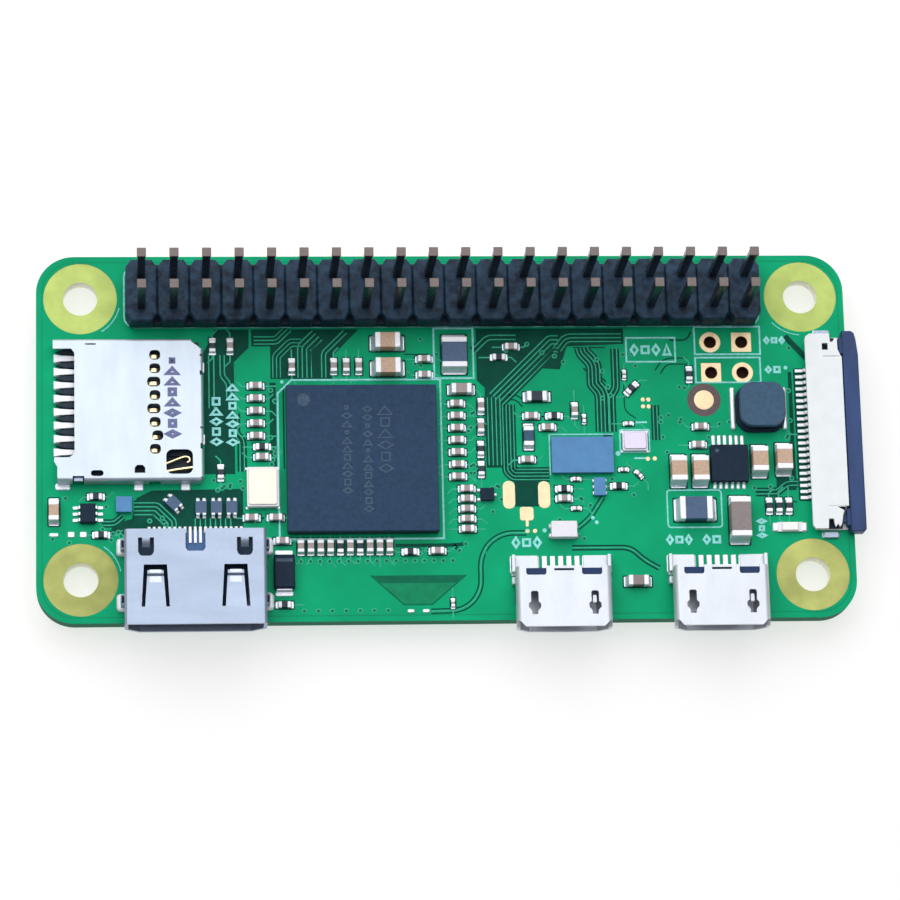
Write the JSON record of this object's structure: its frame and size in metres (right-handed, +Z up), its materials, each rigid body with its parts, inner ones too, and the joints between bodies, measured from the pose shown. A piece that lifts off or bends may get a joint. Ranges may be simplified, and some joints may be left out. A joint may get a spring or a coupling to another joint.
{
  "type": "single board computer",
  "caption": "Small rectangular computer board with a pin header, a memory card socket, video and micro USB sockets, and a camera cable connector with a sliding latch.",
  "frame": {"origin": "middle of the board's underside", "axes": "+X along the board towards the camera connector, +Y across it towards the pin header, +Z up from the board towards its chips"},
  "size_m": [0.0658, 0.031, 0.0115],
  "materials": {
    "solder_mask": "green solder mask, satin gloss",
    "header_plastic": "black moulded plastic",
    "pin_gold": "thin gold plate over brass",
    "mould_black": "black epoxy moulding",
    "memory_mould": "dark grey-blue epoxy moulding",
    "wafer_blue": "blue-grey coated silicon",
    "shell_tin": "tin plated sheet steel",
    "contact_gold": "gold plated spring strip",
    "socket_plastic": "dark moulded plastic",
    "insulator_blue": "dark blue-grey moulded plastic",
    "housing_ivory": "off-white moulded plastic",
    "latch_black": "blue-black moulded plastic",
    "ceramic_tan": "tan ceramic with tinned ends",
    "ceramic_taupe": "taupe ceramic with tinned ends",
    "ceramic_slate": "slate ceramic with tinned ends",
    "ceramic_white": "white glazed ceramic",
    "lid_silver": "pale metal lid",
    "led_white": "clear to white resin"
  },
  "bodies": {
    "board": {"antenna_filter": "ceramic_white", "camera_connector_housing": "housing_ivory", "camera_connector_tab_north": "shell_tin", "camera_connector_tab_south": "shell_tin", "card_capacitor": "ceramic_tan", "card_contact_1": "contact_gold", "card_contact_2": "contact_gold", "card_contact_3": "contact_gold", "card_contact_4": "contact_gold", "card_contact_5": "contact_gold", "card_contact_6": "contact_gold", "card_contact_7": "contact_gold", "card_contact_8": "contact_gold", "card_detect_blade": "contact_gold", "card_power_switch": "mould_black", "card_socket_base": "socket_plastic", "card_socket_shell": "shell_tin", "circuit_board": "solder_mask", "core_capacitor_1": "ceramic_tan", "core_capacitor_2": "ceramic_tan", "core_capacitor_3": "ceramic_taupe", "core_choke": "ceramic_slate", "header_insulator": "header_plastic", "header_pins_front_row": "pin_gold", "header_pins_rear_row": "pin_gold", "input_capacitor": "ceramic_taupe", "input_ferrite": "ceramic_slate", "level_shift_chip": "wafer_blue", "line_filter_1": "ceramic_slate", "line_filter_2": "ceramic_slate", "line_filter_3": "ceramic_slate", "line_filter_4": "ceramic_slate", "main_crystal": "lid_silver", "memory_package": "memory_mould", "power_inductor": "ceramic_slate", "power_regulator": "mould_black", "processor_package": "mould_black", "protection_diode": "mould_black", "radio_balun": "wafer_blue", "regulator_capacitor_1": "ceramic_tan", "regulator_capacitor_2": "ceramic_tan", "regulator_capacitor_3": "ceramic_tan", "regulator_capacitor_4": "ceramic_tan", "status_led": "led_white", "steering_diode": "mould_black", "supply_bead_1": "ceramic_slate", "supply_bead_2": "ceramic_slate", "usb_capacitor": "ceramic_taupe", "usb_data_insulator": "insulator_blue", "usb_data_shell": "shell_tin", "usb_power_insulator": "insulator_blue", "usb_power_shell": "shell_tin", "video_socket_insulator": "insulator_blue", "video_socket_shell": "shell_tin", "wireless_chip": "wafer_blue", "wireless_crystal": "lid_silver"},
    "latch": {"camera_connector_latch": "latch_black"},
    "detect_spring": {"card_detect_spring": "contact_gold"}
  },
  "joints": [
    {"name": "camera_latch_slide", "type": "slide", "parent": "board", "child": "latch", "axis": [1, 0, 0], "range_m": [0, 0.001]},
    {"name": "card_detect_flex", "type": "hinge", "parent": "board", "child": "detect_spring", "pos_m": [-0.0226, -0.00245, 0.002], "axis": [0, 0, -1], "range_deg": [0, 8], "stiffness_Nm_per_rad": 0.002}
  ]
}
